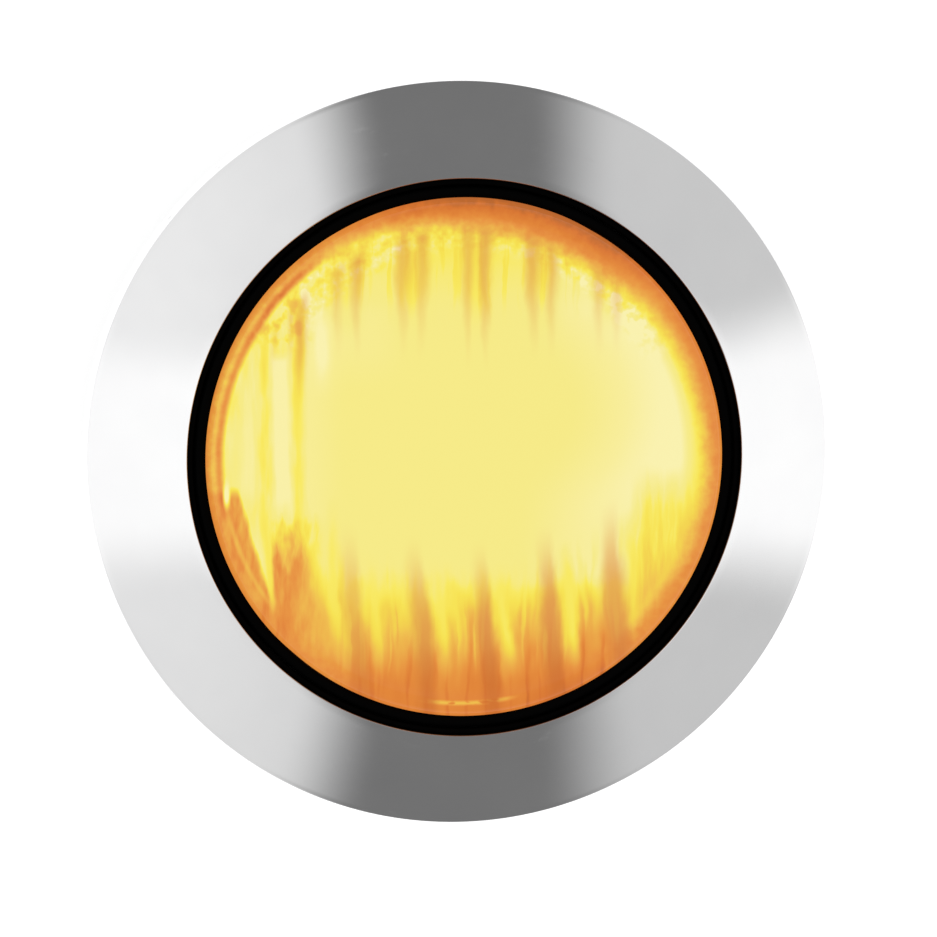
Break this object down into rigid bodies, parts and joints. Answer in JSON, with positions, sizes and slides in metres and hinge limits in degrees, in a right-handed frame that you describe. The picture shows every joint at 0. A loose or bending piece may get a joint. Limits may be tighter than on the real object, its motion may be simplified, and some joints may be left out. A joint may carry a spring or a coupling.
{
  "type": "marker light",
  "caption": "Round amber marker light in a black rubber grommet with a wide domed polished trim ring, and a plug socket behind.",
  "frame": {"origin": "middle of the rear socket's end face, on the lamp's axis, where the lamp stands", "axes": "+Z along the lamp's axis, out of the lens; X along the long side of the rear socket; Y along the lens flutes"},
  "size_m": [0.07, 0.07, 0.0416],
  "materials": {
    "polished_steel": "polished stainless sheet, mirror bright",
    "black_rubber": "matt moulded rubber",
    "amber_lens": "glossy moulded amber plastic, lit from inside",
    "grey_rubber": "soft rubber",
    "black_plastic": "moulded black plastic, fine texture",
    "bright_plating": "vacuum plated plastic",
    "clear_glass": "clear blown glass",
    "brass": "bright formed brass",
    "black_glass": "glossy fused insulator",
    "solder": "dull solder",
    "tungsten": "coiled tungsten wire",
    "nickel_wire": "drawn nickel wire"
  },
  "bodies": {
    "grommet": {"grommet": "black_rubber"},
    "trim": {"trim_ring": "polished_steel"},
    "lamp": {"lens": "amber_lens", "lens_seal": "grey_rubber", "lamp_housing": "black_plastic", "reflector": "bright_plating", "shock_mount": "grey_rubber", "bulb_glass": "clear_glass", "bulb_stem": "clear_glass", "bulb_cap": "brass", "cap_insulator": "black_glass", "cap_contact": "solder", "filament": "tungsten", "filament_post_hot": "nickel_wire", "filament_post_ground": "nickel_wire", "hot_strap": "brass", "ground_strap": "brass", "terminal_pin_hot": "brass", "terminal_pin_ground": "brass", "terminal_seal_hot": "grey_rubber", "terminal_seal_ground": "grey_rubber"}
  },
  "joints": [
    {"name": "trim_pull", "type": "slide", "parent": "grommet", "child": "trim", "axis": [0, 0, 1], "range_m": [0, 0.015]},
    {"name": "lamp_pull", "type": "slide", "parent": "grommet", "child": "lamp", "axis": [0, 0, 1], "range_m": [0, 0.04]}
  ]
}
